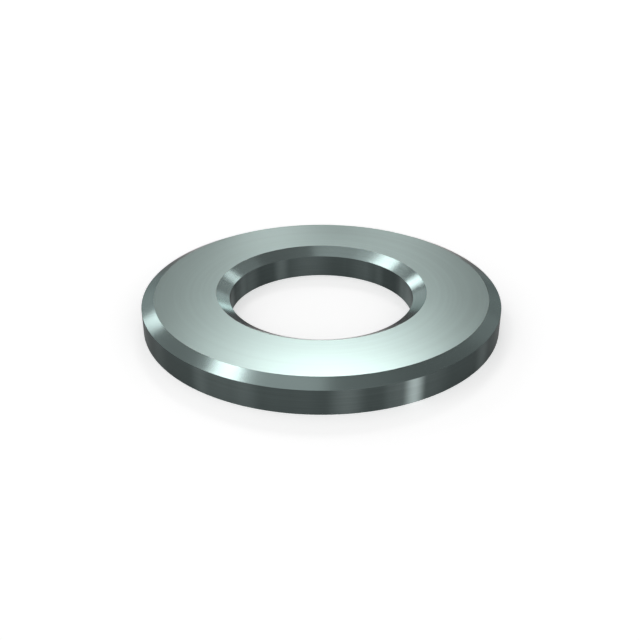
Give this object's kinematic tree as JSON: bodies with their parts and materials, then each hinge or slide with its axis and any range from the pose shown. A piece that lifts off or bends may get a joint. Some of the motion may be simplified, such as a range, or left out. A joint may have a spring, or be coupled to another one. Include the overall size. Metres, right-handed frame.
{
  "type": "chamfered washer",
  "caption": "Flat round steel washer with a plain bore, chamfered at the bore and the rim on its upper side, to spread the load under a bolt head or nut.",
  "frame": {"origin": "centre of the lower flat face, on the bore's axis", "axes": "+Z along the bore's axis, from the flat lower face to the chamfered upper face; X and Y lie in the lower face and are interchangeable"},
  "size_m": [0.033, 0.033, 0.0028],
  "materials": {
    "steel": "fine turned and tumbled bare steel, satin, with a cool grey-green cast"
  },
  "bodies": {
    "root": {"washer": "steel"}
  },
  "joints": []
}
